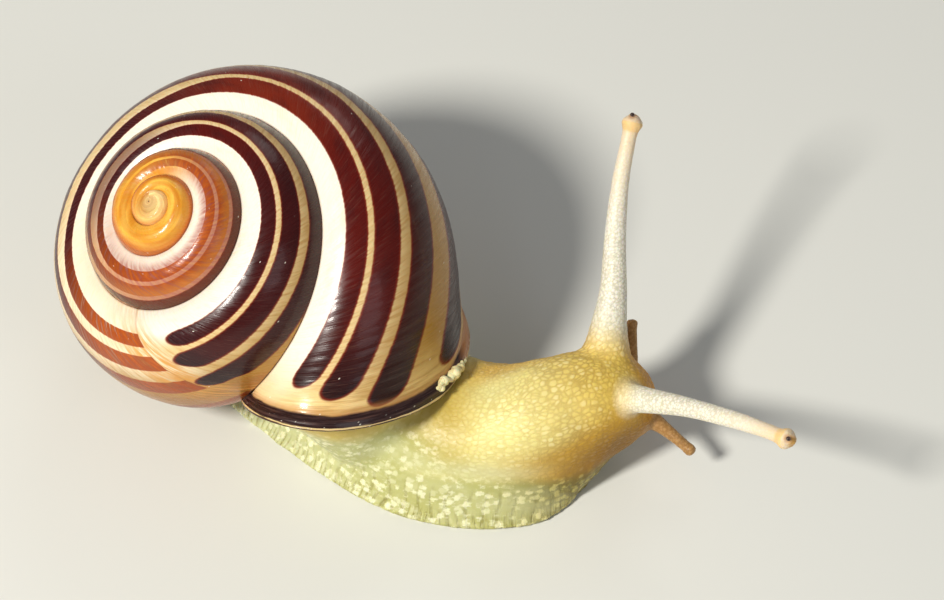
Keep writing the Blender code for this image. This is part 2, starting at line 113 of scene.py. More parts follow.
# ---- feelers: points along the middle, each with its radius ----
FAR_STALK = ((10.45, 1.6, 5.3, 1.5), (10.6, 2.9, 6.95, 1.05), (10.85, 4.3, 8.35, 0.74),
             (10.95, 6.4, 10.35, 0.59), (11.2, 8.4, 12.1, 0.48), (11.6, 10.05, 13.5, 0.42),
             (11.75, 10.55, 13.95, 0.43))
NEAR_STALK = ((10.9, 0.1, 4.9, 1.3), (11.8, -0.88, 5.9, 0.8), (14.35, -2.7, 7.5, 0.54),
              (16.75, -4.62, 8.84, 0.47), (18.2, -5.83, 9.54, 0.41), (19.0, -6.5, 9.84, 0.42))
FAR_FEELER = ((11.7, 1.9, 3.6, 0.5), (11.9, 2.9, 3.75, 0.38), (11.95, 4.0, 4.15, 0.30),
              (11.95, 5.0, 4.6, 0.28))
NEAR_FEELER = ((12.0, 0.8, 3.5, 0.7), (12.7, 0.12, 3.2, 0.54), (13.75, -0.58, 2.77, 0.37),
               (14.75, -1.25, 2.25, 0.31))
BULB_RADIUS, FEELER_TIP_RADIUS = 0.6, 0.36
MANTLE_FOOT = np.array((-1.8, 2.0, 1.6))  # middle of the flesh that rises to the mouth
FLESH_NODES = ("foot_tail", "foot_middle", "foot_front", "mantle", "neck", "head",
               "eyestalk_left_lower", "eyestalk_left_upper", "eyestalk_right_lower",
               "eyestalk_right_upper", "feeler_left", "feeler_right")
SKIN_VOXEL, SKIN_SMOOTHING = 0.13, 36  # and rounds of easing towards the neighbours
BODY_CELL, SLIM_CELL, SKIRT_CELL = 0.25, 0.17, 0.34
WART_RISE, SLIM_WART_RISE, SWELL_RISE = 0.03, 0.01, 0.03
SKIRT_COLUMN, EDGE_RIB = (0.62, 0.035), (0.28, 0.04)  # spacing and depth of the grooves
FAR_EYE_AIM, NEAR_EYE_AIM = (-0.05, 0.1, 1.0), (0.0, -0.55, 0.8)
EYE_RADIUS, EYE_SINK, EYE_FLATTENING = 0.12, 0.09, 0.25

# ---- dried slime on the edge of the lip: points and how thick it is there ----
CRUST = ((1.75, -0.55, 6.40, 0.16), (2.0, -0.2, 6.28, 0.34), (2.35, 0.25, 6.15, 0.26),
         (2.6, 0.75, 5.98, 0.40), (2.85, 1.2, 5.82, 0.28), (3.05, 1.65, 5.68, 0.18),
         (3.25, 2.3, 5.45, 0.08))
CRUST_LUMPS, CRUST_CELL = 20, 0.36
CRUST_VOXEL, CRUST_SMOOTHING = 0.04, 10

# ---- studio: floor, air, and the name, place, aim, size, power and colour of each lamp ----
FLOOR_SIZE, FLOOR_COLOUR = 1200, (226, 226, 220)
AIR_COLOUR, AIR_STRENGTH = (0.93, 0.96, 1.0, 1), 0.18
LIGHTS = (("key_light", (-168, -150, 230), (0, 3, 4), 60, 1.1, (1, 0.97, 0.9)),
          ("fill_light", (170, -180, 160), (0, 3, 4), 160, 0.1, (0.92, 0.96, 1)),
          ("back_light", (60, 220, 180), (0, 3, 4), 140, 0.08, (1, 0.98, 0.94)))


# ---- small helpers ----
def unit(v):
    v = np.asarray(v, float)
    return v / np.linalg.norm(v, axis=-1, keepdims=True)


def in_scene(name, data):
    made = bpy.data.objects.new(name, data)
    bpy.context.scene.collection.objects.link(made)
    return made


def new_object(name, points, faces):
    """Smooth mesh object from points in millimetres."""
    mesh = bpy.data.meshes.new(name)
    mesh.from_pydata((np.asarray(points) * MM).tolist(), [], faces)
    mesh.validate()
    mesh.shade_smooth()
    return in_scene(name, mesh)


def mesh_object(name, bm):
    """Object from a finished bmesh, which is freed."""
    mesh = bpy.data.meshes.new(name)
    bm.to_mesh(mesh)
    bm.free()
    return in_scene(name, mesh)


def add_attributes(thing, marks):
    """One number for each point, under each name; the materials read them."""
    for name, values in marks.items():
        attribute = thing.data.attributes.new(name, "FLOAT", "POINT")
        attribute.data.foreach_set("value", np.ascontiguousarray(values, np.float32).ravel())


# ---- shell ----
def section(back, grow=0.0):
    """Middle (radius, height) and half axes of the whorl section, `back` radians from the lip."""
    size = np.exp(-SHRINK * back - SHRINK_MORE * back * back)
    drop = SPIRE_DROP * size ** DROP_POWER + LIP_DROP * np.exp(-back / LIP_DROP_LENGTH)
    rise = APEX_RISE * np.exp((back - WHORLS * TURN) / APEX_RISE_LENGTH)
    return (MOUTH_RADIUS * size ** RADIUS_POWER, rise - drop,
            MOUTH_HALF_WIDTH * size + grow, MOUTH_HALF_HEIGHT * size ** HEIGHT_POWER + grow)


def section_point(back, angle, grow=0.0, scale=1.0):
    radius, height, wide, tall = section(back, grow)
    tall = np.where(np.sin(angle) < 0, tall * BASE_FLATTENING, tall)
    across, up = wide * scale * np.cos(angle), tall * scale * np.sin(angle)
    return (radius + across * TILT_COS - up * TILT_SIN,
            height + across * TILT_SIN + up * TILT_COS)


def on_section(back, radius, height):
    """The same point in units of the section's half axes."""
    middle_radius, middle_height, wide, tall = section(back)
    dr, dz = radius - middle_radius, height - middle_height
    across, up = dr * TILT_COS + dz * TILT_SIN, dz * TILT_COS - dr * TILT_SIN
    return across / wide, up / np.where(up < 0, tall * BASE_FLATTENING, tall)


def suture_angle(back):
    """Angle on a section where it meets the whorl one turn further back."""
    low = np.full_like(back, math.radians(45))
    high = np.full_like(back, math.radians(200))
    for _ in range(40):
        middle = (low + high) / 2
        across, up = on_section(back + TURN, *section_point(back, middle))
        outside = across * across + up * up > 1
        low, high = np.where(outside, middle, low), np.where(outside, high, middle)
    return (low + high) / 2


def covered_angle(back):
    """Angle on a section where the next whorl out starts to cover it."""
    across, up = on_section(back, *section_point(back - TURN, suture_angle(back - TURN)))
    return np.arctan2(up, across)


def shell_place(back, radius, height):
    """Turn spiral coordinates into points of the posed shell."""
    level = math.cos(AXIS_ELEVATION)
    axis = np.array((level * math.cos(AXIS_HEADING), level * math.sin(AXIS_HEADING),
                     math.sin(AXIS_ELEVATION)))
    first = unit(np.cross((0, 0, 1), axis))
    second = np.cross(axis, first)
    turn = np.asarray(LIP_SPIN + back)[..., None]
    return (SHELL_APEX + (first * np.cos(turn) + second * np.sin(turn))
            * np.asarray(radius)[..., None] + axis * np.asarray(height)[..., None])


def growth_lag(angle, top):
    """Radians of spiral by which a growth line trails at an angle, against the suture."""
    swept = np.maximum(0, top - angle)
    return LIP_SLANT * swept + LIP_SLANT_MORE * swept * swept


def spire_rows(backs):
    """Points and (back, angle, suture angle) for the whorls above the last one."""
    back = backs[:, None] + np.zeros(SPIRE_COLUMNS + 1)
    top, bottom = suture_angle(backs)[:, None], covered_angle(backs)[:, None]
    share = np.linspace(0, 1, SPIRE_COLUMNS + 1)
    angle = top + (bottom - top) * share
    radius, height = section_point(back, angle)
    return shell_place(back, radius, height), back, angle, top + np.zeros_like(angle), radius


def last_rows(edges, grow=0.0):
    """Growth lines of the last whorl, from the suture round the outside to the axis."""
    edge = edges[:, None]
    lean = np.maximum(0, 1 - edge / TURN)
    top = suture_angle(edges)[:, None]
    first_top = suture_angle(np.array([TURN]))[0]
    shoulder = (first_top - covered_angle(np.array([TURN]))[0]) / (first_top + math.pi / 2)
    share = np.concatenate([np.linspace(0, shoulder, SPIRE_COLUMNS + 1),
                            np.linspace(shoulder, 1, OUTER_COLUMNS - SPIRE_COLUMNS + 1)[1:],
                            np.ones(BASE_COLUMNS)])
    inward = np.concatenate([np.zeros(OUTER_COLUMNS), np.linspace(0, 1, BASE_COLUMNS + 1)])
    angle = top - (top + math.pi / 2) * share
    swept = np.maximum(0, top - angle)
    lag = swept + BASE_SWEEP * inward
    back = edge + lean * (LIP_SLANT * lag + LIP_SLANT_MORE * lag * lag)
    flare = LIP_FLARE * np.exp(-edge / LIP_FLARE_LENGTH) * np.minimum(1, swept) * (1 - inward)
    radius, height = section_point(back, angle, grow, 1 + flare)
    height = height + (inward > 0) * section(back)[3] * BASE_FLATTENING * BASE_DIMPLE * (
        1 - np.cos(inward * math.pi / 2))
    radius = radius * (1 - inward)
    points = shell_place(back, radius, height)
    return points, back, angle - inward * 0.8, top + np.zeros_like(angle), radius


def grid_faces(rows, columns, start=0, flip=False):
    number = start + np.arange(rows * columns).reshape(rows, columns)
    quads = np.stack([number[:-1, :-1], number[:-1, 1:], number[1:, 1:], number[1:, :-1]], -1)
    if flip:
        quads = quads[..., ::-1]
    return quads.reshape(-1, 4).tolist()


def ridge_noise(seed, along, spacing):
    """Smooth one-dimensional noise in -1..1 with a feature every `spacing`."""
    values = np.random.default_rng(seed).uniform(-1, 1, 4096)
    place = np.asarray(along) / spacing + 500
    whole = np.floor(place).astype(int)
    share = place - whole
    share = share * share * (3 - 2 * share)
    return values[whole % 4096] * (1 - share) + values[(whole + 1) % 4096] * share


def spiral_length(growth):
    """Millimetres along the outside of the whorl from the lip back to a growth line."""
    back = np.linspace(-0.5, WHORLS * TURN + 1, 4000)
    radius, _, wide, _ = section(back)
    length = np.concatenate([[0], np.cumsum((radius + 0.5 * wide)[:-1] * np.diff(back))])
    return np.interp(growth, back, length - np.interp(0, back, length))


def mouth_rows():
    """Rows of the wall seen inside the mouth and of the rolled lip, deepest first."""
    roll = np.linspace(math.pi, 0, RIM_ROWS + 1)[:-1]
    half = LIP_THICKNESS / 2
    edge = np.concatenate([np.linspace(MOUTH_DEPTH, 0, WALL_ROWS + 1)[:-1],
                           -half * np.sin(roll) / MOUTH_RADIUS])
    grow = np.concatenate([np.full(WALL_ROWS, -LIP_THICKNESS), half * (np.cos(roll) - 1)])
    beyond = np.concatenate([-math.pi * half - edge[:WALL_ROWS] * MOUTH_RADIUS, -half * roll])
    return last_rows(edge, grow[:, None]), beyond


def build_shell():
    """Outer surface, rolled lip, the wall seen inside the mouth and its end, in one mesh."""
    columns = OUTER_COLUMNS + BASE_COLUMNS + 1
    mouth, beyond = mouth_rows()
    outer = last_rows(np.linspace(0, TURN, LAST_ROWS + 1))
    spire = spire_rows(np.linspace(TURN, WHORLS * TURN, round(SPIRE_ROWS * (WHORLS - 1)) + 1))
    depth = np.linspace(0, MOUTH_DEPTH, WALL_ROWS + 1)[1:]
    parietal = [part[:, SPIRE_COLUMNS:] for part in last_rows(TURN + depth)]

    rows = len(mouth[0]) + len(outer[0])
    spire_start = rows * columns
    parietal_start = spire_start + spire[0].shape[0] * spire[0].shape[1]
    parietal_columns = columns - SPIRE_COLUMNS
    apex = parietal_start + WALL_ROWS * parietal_columns
    faces = grid_faces(rows, columns)
    faces += grid_faces(len(spire[0]), SPIRE_COLUMNS + 1, spire_start)
    faces += grid_faces(WALL_ROWS, parietal_columns, parietal_start)
    last_row = spire_start - parietal_columns
    end_row = apex - parietal_columns
    faces += [(last_row + k, last_row + k + 1, parietal_start + k + 1, parietal_start + k)
              for k in range(parietal_columns - 1)]
    for k in range(columns - 1):
        near, far = max(k - SPIRE_COLUMNS, 0), max(k + 1 - SPIRE_COLUMNS, 0)
        corners = (k + 1, k, end_row + near, end_row + far)
        faces.append(corners if near != far else corners[:3])
    end = list(range(parietal_start - SPIRE_COLUMNS - 1, parietal_start))
    rim = [end[0] - (SPIRE_COLUMNS + 1) * k for k in range(SPIRE_ROWS + 1)]
    faces += [(a, b, apex) for a, b in zip(end, end[1:])]
    faces += [(b, a, apex) for a, b in zip(rim, rim[1:])]

    tip = [shell_place(np.array([0.0]), np.array([0.0]), np.array([APEX_TIP])),
           np.array([WHORLS * TURN]), np.array([math.pi / 2]), np.array([math.pi / 2]),
           np.array([0.0])]
    points, back, angle, top, radius = [
        np.concatenate([part.reshape(-1, 3) if i == 0 else part.ravel() for part in parts])
        for i, parts in enumerate(zip(mouth, outer, spire, parietal, tip))]
    shell = new_object("snail_shell", points, faces)

    growth = back - growth_lag(angle, top)
    lip = growth * radius
    lip[:beyond.size * columns] = np.repeat(beyond, columns)
    swing = BAND_SWING * (1 + back / TURN) * (1 - np.cos(back - SWING_START)) / 2
    rest = growth - REST_LINE + REST_SLANT * (top - angle)
    half_height = section(back)[3]
    covered = (spire[2] - spire[2][:, -1:]) * section(spire[1])[3]
    cover = np.full(len(back), FAR_FROM_COVER)
    cover[spire_start:parietal_start] = covered.ravel()
    marks = {"path": spiral_length(growth), "turns": growth / TURN, "lip": lip,
             "rest": rest * radius, "around": np.degrees(angle) - swing,
             "seam": (top - angle) * half_height * 0.8, "cover": cover}
    add_attributes(shell, marks)
    return shell, marks


def bump_at(place, shape):
    height, middle, half_width = shape
    return height * np.exp(-((place - middle) / half_width) ** 2)


def shape_shell(shell, marks):
    """Growth ridges, the pause in growth and the swollen lip."""
    mesh = shell.data
    points, normals = read_points(mesh) / MM, read_normals(mesh)
    path, lip = marks["path"], marks["lip"]
    drift = 0.25 * ridge_noise(3, marks["around"], 12)
    (seed, height, spacing), finer, broader = RIDGES
    lift = height * ridge_noise(seed, path + drift, spacing) * (
        0.6 + 0.4 * ridge_noise(2, path, 3))
    lift += finer[1] * ridge_noise(finer[0], path + drift, finer[2])
    lift += broader[1] * ridge_noise(broader[0], path + 2 * drift, broader[2])
    lift *= np.clip(marks["seam"] / 0.4, 0, 1) * (lip > 0)
    lift += bump_at(lip, LIP_SWELL) * (lip > -0.2)
    lift -= bump_at(lip, LIP_GROOVE) + bump_at(marks["rest"], REST_GROOVE)
    write_points(mesh, (points + normals * lift[:, None]) * MM)


# ---- skin ----
def smooth_curve(points, t):
    """Catmull-Rom curve through equal-length rows; t is an array from 0 to len(points) - 1."""
    points, t = np.asarray(points, float), np.atleast_1d(np.asarray(t, float))
    last = len(points) - 1
    start = np.clip(t.astype(int), 0, last - 1)
    f = (t - start)[:, None]
    p0, p1 = points[np.maximum(start - 1, 0)], points[start]
    p2, p3 = points[start + 1], points[np.minimum(start + 2, last)]
    return 0.5 * (2 * p1 + (p2 - p0) * f + (2 * p0 - 5 * p1 + 4 * p2 - p3) * f * f
                  + (3 * p1 - p0 - 3 * p2 + p3) * f ** 3)


def level_sides(points, t):
    """Unit vectors to the animal's right along a curve, level with the floor."""
    last = len(points) - 1
    ahead = smooth_curve(points, np.minimum(t + 0.05, last))
    behind = smooth_curve(points, np.maximum(t - 0.05, 0))
    along = unit((ahead - behind)[:, :2])
    return np.stack([along[:, 1], -along[:, 0], np.zeros(len(t))], -1)


def loft(rings):
    """Points and faces of a closed skin over rings of equal length."""
    rings = np.asarray(rings)
    rows, sides = rings.shape[:2]
    number = np.arange(rows * sides).reshape(rows, sides)
    after = np.roll(number, -1, axis=1)
    quads = np.stack([number[:-1], after[:-1], after[1:], number[1:]], -1).reshape(-1, 4)
    middles = rings.mean(axis=1)
    faces = quads.tolist()
    last = (rows - 1) * sides
    for i, k in zip(number[0].tolist(), after[0].tolist()):
        faces += [(k, i, rows * sides), (last + i, last + k, rows * sides + 1)]
    return np.concatenate([rings.reshape(-1, 3), middles[:1], middles[-1:]]), faces


def foot_loft():
    t = np.linspace(0, len(FOOT) - 1, FOOT_ROWS)
    x, y, half_width, height = smooth_curve(FOOT, t).T
    side = level_sides(FOOT, t)[:, None, :]
    turn = np.linspace(0, math.pi, 61)
    rise = np.sin(turn)[None]
    edge = np.minimum(FOOT_EDGE, height / 3)[:, None]
    rim = FOOT_WAIST + (1 - FOOT_WAIST) * np.exp(-rise * height[:, None] / 0.55)
    across = half_width[:, None] * rim * np.cos(turn)[None]
    z = edge + (height[:, None] - edge) * rise
    sole = np.linspace(-0.96, 0.96, SOLE_POINTS)[None]
    across = np.concatenate([across, half_width[:, None] * sole], axis=1)
    z = np.concatenate([z, np.zeros((len(t), SOLE_POINTS))], axis=1)
    middle = np.stack([x, y, 0 * x], -1)[:, None, :]
    return loft(middle + side * across[..., None] + z[..., None] * UPWARD)


def neck_loft():
    t = np.linspace(0, len(NECK) - 1, NECK_ROWS)
    values = smooth_curve(NECK, t)
    x, y, z, half_width, half_height, low_y, low_width, low_z = values.T[:, :, None]
    side = level_sides(NECK, t)[:, None, :]
    back = np.linspace(0, math.pi, 45)[None]
    fall = np.linspace(0, math.pi / 2, 23)[None, 1:]
    width = low_width + (half_width - low_width) * np.cos(fall)
    left = np.concatenate([half_width * np.cos(back), -width], axis=1)
    across = np.concatenate([left, low_width * np.linspace(-0.9, 0.9, BELLY_POINTS)[None],
                             width[:, ::-1]], axis=1)
    down = z - (z - low_z) * np.sin(fall)
    flat = low_z + np.zeros((1, BELLY_POINTS))
    up = np.concatenate([z + half_height * np.sin(back), down, flat, down[:, ::-1]], axis=1)
    sink = np.concatenate([0 * back, np.sin(fall), np.ones((1, BELLY_POINTS)),
                           np.sin(fall)[:, ::-1]], axis=1)
    middle = np.stack([x + 0 * sink, y + (low_y - y) * sink, 0 * up], -1)
    return loft(middle + side * across[..., None] + up[..., None] * UPWARD)


def tube_loft(points, tip_radius, sides=28):
    """Round tube along a curve that ends in a ball."""
    last = len(points) - 1
    t = np.linspace(0, last, last * 14 + 1)
    curve = smooth_curve(points, t)
    middle, radius = curve[:, :3], curve[:, 3]
    along = unit(np.gradient(middle, axis=0))
    begin = math.asin(min(1.0, points[-1][3] / tip_radius))
    centre = middle[-1] + along[-1] * math.sqrt(tip_radius ** 2 - points[-1][3] ** 2)
    ball = np.linspace(begin, math.pi, 16)[1:-1]
    middle = np.concatenate([middle, centre - along[-1] * (tip_radius * np.cos(ball))[:, None]])
    radius = np.concatenate([radius, tip_radius * np.sin(ball)])
    along = np.concatenate([along, np.repeat(along[-1:], len(ball), 0)])
    first = unit(np.cross(along, (0.3, -0.4, 1.0)))
    second = np.cross(along, first)
    turn = np.linspace(0, TURN, sides, endpoint=False)[None, :, None]
    ring = first[:, None] * np.cos(turn) + second[:, None] * np.sin(turn)
    return loft(middle[:, None] + ring * radius[:, None, None])


def mouth_ring(depth, fit):
    """Outline of the mouth's inside, `depth` radians behind the lip, shrunk towards its middle."""
    wall = last_rows(np.array([depth]), -LIP_THICKNESS)[0][0]
    back = last_rows(np.array([TURN + depth]))[0][0, SPIRE_COLUMNS:][::-1]
    ring = np.concatenate([wall, back[1:]])
    middle = ring.mean(axis=0)
    return middle + (ring - middle) * fit


def mantle_loft():
    """Flesh that rises out of the foot and fills the mouth of the shell."""
    lip = mouth_ring(0.0, 0.9)
    middle = lip.mean(axis=0)
    low = MANTLE_FOOT + (lip - middle) * 0.62
    low[:, 2] = MANTLE_FOOT[2]
    rings = [low] + [low + (lip - low) * share for share in (0.25, 0.5, 0.75, 0.92)]
    rings += [mouth_ring(0.02, 0.97), mouth_ring(0.08, 0.99), mouth_ring(0.14, 0.98)]
    return loft(rings)


def fused(name, parts, voxel):
    """One closed mesh round all the given closed meshes, still in millimetres."""
    points, faces, start = [], [], 0
    for part_points, part_faces in parts:
        points.append(part_points)
        faces += [[i + start for i in face] for face in part_faces]
        start += len(part_points)
    thing = new_object(name, np.concatenate(points) / MM, faces)
    remesh = thing.modifiers.new("fuse", "REMESH")
    remesh.mode, remesh.voxel_size, remesh.adaptivity = "VOXEL", voxel, 0
    take_modifiers(thing)
    return thing


def take_modifiers(thing):
    """Replace the mesh by what its modifiers make of it."""
    evaluated = thing.evaluated_get(bpy.context.evaluated_depsgraph_get())
    mesh = bpy.data.meshes.new_from_object(evaluated)
    thing.modifiers.clear()
    thing.data = mesh


def read_vectors(things, name):
    flat = np.empty(len(things) * 3, np.float32)
    things.foreach_get(name, flat)
    return flat.reshape(-1, 3).astype(float)


def read_points(mesh):
    return read_vectors(mesh.vertices, "co")


def read_normals(mesh):
    return read_vectors(mesh.vertex_normals, "vector")


def write_points(mesh, points):
    mesh.vertices.foreach_set("co", np.ascontiguousarray(points, np.float32).ravel())
    mesh.update()


def mesh_edges(mesh):
    flat = np.empty(len(mesh.edges) * 2, np.int32)
    mesh.edges.foreach_get("vertices", flat)
    return flat.reshape(-1, 2)


def relax(points, edges, times, share):
    """Move every point towards the middle of its neighbours."""
    count = np.bincount(edges.ravel(), minlength=len(points))[:, None]
    for _ in range(times):
        total = np.stack([np.bincount(edges[:, 0], points[edges[:, 1], k], len(points))
                          + np.bincount(edges[:, 1], points[edges[:, 0], k], len(points))
                          for k in range(3)], -1)
        points = points + (total / count - points) * share
    return points


def nearest_points(points, line, step=1):
    """For each point: number of the nearest point of a line, and the squared distance to it."""
    best, distance = np.zeros(len(points), int), np.full(len(points), 1e9)
    for k in range(0, len(line), step):
        gap = ((points - line[k]) ** 2).sum(axis=1)
        closer = gap < distance
        best[closer], distance[closer] = k, gap[closer]
    return best, distance


def nearest_on(points, curve_points, samples=160):
    """For each point: place along the curve (0..1), distance from it and its radius there."""
    t = np.linspace(0, len(curve_points) - 1, samples)
    curve = smooth_curve(curve_points, t)
    best, distance = nearest_points(points, curve[:, :3])
    return t[best] / t[-1], np.sqrt(distance), curve[best, 3]


def ease(value, low, high):
    share = np.clip((value - low) / (high - low), 0, 1)
    return share * share * (3 - 2 * share)


def scatter(cell, seed):
    """Random numbers in 0..1, four for each integer cell."""
    mixed = (cell[..., 0] * 73856093) ^ (cell[..., 1] * 19349663) ^ (cell[..., 2] * 83492791)
    mixed = (mixed ^ seed * 2654435761) & 0xFFFFFFFF
    values = []
    for step in range(4):
        mixed = (mixed * 1664525 + 1013904223 + step) & 0xFFFFFFFF
        mixed = mixed ^ (mixed >> 15)
        values.append(((mixed * 2246822519) & 0xFFFFFFFF) / 4294967296)
    return np.stack(values, -1)


def warts(places, seed):
    """Rounded cells: height 0..1 inside each cell, a random tone for the whole cell and the
    distance to the nearest middle."""
    base = np.floor(places).astype(np.int64)
    first = np.full(len(places), 1e9)
    second, tone = first.copy(), np.zeros(len(places))
    for shift in product((-1, 0, 1), repeat=3):
        cell = base + shift
        random = scatter(cell, seed)
        gap = np.linalg.norm(cell + 0.1 + 0.8 * random[:, :3] - places, axis=1)
        closer = gap < first
        second = np.where(closer, first, np.minimum(second, gap))
        tone = np.where(closer, random[:, 3], tone)
        first = np.minimum(first, gap)
    dome = 1 - 0.75 * np.minimum(first, 1) ** 2
    return np.clip((second - first) / 0.4, 0, 1) ** 0.7 * dome, tone, first


def body_places(points):
    """Millimetres along the body from the tail, across it and up."""
    spine = np.array([row[:2] for row in FOOT[:8]] + [row[:2] for row in NECK[5:]])
    t = np.linspace(0, len(spine) - 1, 400)
    line = smooth_curve(spine, t)
    length = np.concatenate([[0], np.cumsum(np.linalg.norm(np.diff(line, axis=0), axis=1))])
    best, _ = nearest_points(points[:, :2], line, 2)
    along = unit(np.gradient(line, axis=0))
    offset = points[:, :2] - line[best]
    across = offset[:, 0] * along[best, 1] - offset[:, 1] * along[best, 0]
    onward = offset[:, 0] * along[best, 0] + offset[:, 1] * along[best, 1]
    return length[best] + onward, across, points[:, 2]


def build_skin():
    parts = [foot_loft(), neck_loft(), mantle_loft(),
             tube_loft(FAR_STALK, BULB_RADIUS), tube_loft(NEAR_STALK, BULB_RADIUS),
             tube_loft(FAR_FEELER, FEELER_TIP_RADIUS), tube_loft(NEAR_FEELER, FEELER_TIP_RADIUS)]
    skin = fused("snail_skin", parts, SKIN_VOXEL)
    points = read_points(skin.data)
    slim = np.maximum(*slimness(points)[:2])
    slim = np.maximum(slim, ease(points[:, 2], 0.9, 0.4))
    smoothed = relax(points, mesh_edges(skin.data), SKIN_SMOOTHING, 0.5)
    points += (smoothed - points) * (1 - 0.88 * slim)[:, None]
    write_points(skin.data, points)
    finer = skin.modifiers.new("finer", "SUBSURF")
    finer.levels = finer.render_levels = 1
    take_modifiers(skin)
    return skin


def slimness(points):
    """How much a point is on the free part of a stalk, on a lower feeler, how far out it is along
    a stalk, and how pale it is as a part of one."""
    upper, lower, out, pale = np.zeros((4, len(points)))
    for curve, start, pale_start in ((FAR_STALK, 0.2, 0.06), (NEAR_STALK, 0.16, 0.12)):
        share, distance, radius = nearest_on(points, curve)
        near = ease(distance / radius, 2.2, 1.5)
        upper = np.maximum(upper, ease(share, start - 0.12, start + 0.16) * near)
        out = np.maximum(out, share * near)
        pale = np.maximum(pale, ease(share, pale_start, pale_start + 0.16)
                          * ease(distance / radius, 1.5, 1.15))
        pale = np.maximum(pale, ease(share, 0.85, 0.95) * near)
    for curve in (FAR_FEELER, NEAR_FEELER):
        share, distance, radius = nearest_on(points, curve)
        lower = np.maximum(lower, ease(share, 0.2, 0.5) * ease(distance / radius, 2.2, 1.5))
    return upper, lower, out, pale


def shape_skin(skin):
    """Warts, the grooved skirt of the foot and the marks that colour the skin."""
    points, normals = read_points(skin.data), read_normals(skin.data)
    along, across, up = body_places(points)
    upper, lower, out, pale = slimness(points)
    slim = np.maximum(upper, lower)
    skirt = np.maximum(ease(up, 3.2, 2.2), ease(along, 24.0, 20.0)) * (1 - slim)
    skirt *= ease(along, 31.0, 28.5)
    sole = ease(normals[:, 2], -0.5, -0.9) * ease(up, 0.3, 0.1)
    calm = np.exp(-((up - 3.2) / 0.6) ** 2) * ease(along, 28, 24) * ease(along, 18, 22)

    # cells: warts on the body, finer ones on the stalks, flatter rows of spots on the skirt
    drift = 0.35 * np.sin(along * 0.9 + up) + 0.2 * np.sin(across * 2.1 + along * 1.7)
    body = np.stack([along * 0.72, across + drift * 0.3, up + drift * 0.2], -1)
    body_wart, body_tone, _ = warts(body / BODY_CELL, 11)
    small_wart, small_tone, _ = warts(points / SLIM_CELL, 12)
    edge = np.stack([along, across * 0.5, up + drift * 0.4], -1)
    _, skirt_tone, skirt_gap = warts(edge / SKIRT_CELL, 13)
    wart = body_wart * (1 - skirt) + ease(skirt_gap, 0.75, 0.15) * skirt
    tone = body_tone * (1 - skirt) + skirt_tone * skirt
    wart, tone = wart * (1 - slim) + small_wart * slim, tone * (1 - slim) + small_tone * slim

    # relief: warts, slow swells, and the columns and ribs along the skirt
    swell = 0.5 + 0.5 * np.sin(along * 0.8 + 1.1) * np.sin(across * 1.3 + up * 0.9)
    height = WART_RISE * (1 - slim) + SLIM_WART_RISE * slim
    height *= (1 - 0.3 * skirt) * (1 - 0.8 * calm)
    height *= 0.55 + 0.45 * np.maximum(swell, ease(along, 27, 30))
    lift = (wart - 0.5) * height * (1 - sole)
    waves = np.sin(along * 2.6 + 1.5 * drift) * np.sin(across * 3.1 + up * 2.2)
    lift += SWELL_RISE * waves * (1 - slim)
    phase = along + 0.14 * np.sin(along * 2.3) + 0.1 * np.sin(up * 3 + along)
    column = np.abs(np.sin(math.pi * phase / SKIRT_COLUMN[0])) ** 0.45
    rib = np.abs(np.sin(math.pi * phase / EDGE_RIB[0])) ** 0.6
    fringe = (1 - sole) * (1 - slim) * ease(along, 33.0, 31.5)
    lift += SKIRT_COLUMN[1] * (column - 1) * ease(up, 2.2, 1.2) * fringe
    lift += EDGE_RIB[1] * (rib - 1) * ease(up, 1.0, 0.4) * fringe
    points += normals * lift[:, None]
    points[:, 2] = np.maximum(points[:, 2], 0.0)
    write_points(skin.data, points * MM)
    add_attributes(skin, {
        "wart": wart, "tone": tone, "stalk": pale, "feeler": lower, "out": out, "along": along,
        "across": across, "up": up, "column": column, "rib": rib, "calm": calm,
        "by_eye": by_eye(points)})


def bulb_middle(curve):
    tip, before = smooth_curve(curve, [len(curve) - 1, len(curve) - 1.05])[:, :3]
    return tip + unit(tip - before) * math.sqrt(BULB_RADIUS ** 2 - curve[-1][3] ** 2)


def eye_middle(curve, aim):
    return bulb_middle(curve) + unit(np.array(aim)) * (BULB_RADIUS - EYE_SINK)


def by_eye(points):
    """1 at the eyes, fading out over the bulbs."""
    total = np.zeros(len(points))
    for curve, aim in ((FAR_STALK, FAR_EYE_AIM), (NEAR_STALK, NEAR_EYE_AIM)):
        total += ease(np.linalg.norm(points - eye_middle(curve, aim), axis=1), 0.34, 0.14)
    return total


def build_eye(name, curve, aim):
    """Slightly flattened, uneven ball sunk in the tip of a stalk."""
    bm = bmesh.new()
    bmesh.ops.create_icosphere(bm, subdivisions=5, radius=EYE_RADIUS)
    axis = Vector(aim).normalized()
    for v in bm.verts:
        outward = v.co.dot(axis)
        v.co -= axis * outward * EYE_FLATTENING
        v.co *= 1 + 0.03 * noise.noise(v.co * 14)
    bmesh.ops.translate(bm, vec=Vector(eye_middle(curve, aim)), verts=bm.verts)
    bmesh.ops.scale(bm, vec=(MM, MM, MM), verts=bm.verts)
    eye = mesh_object(name, bm)
    eye.data.shade_smooth()
    return eye


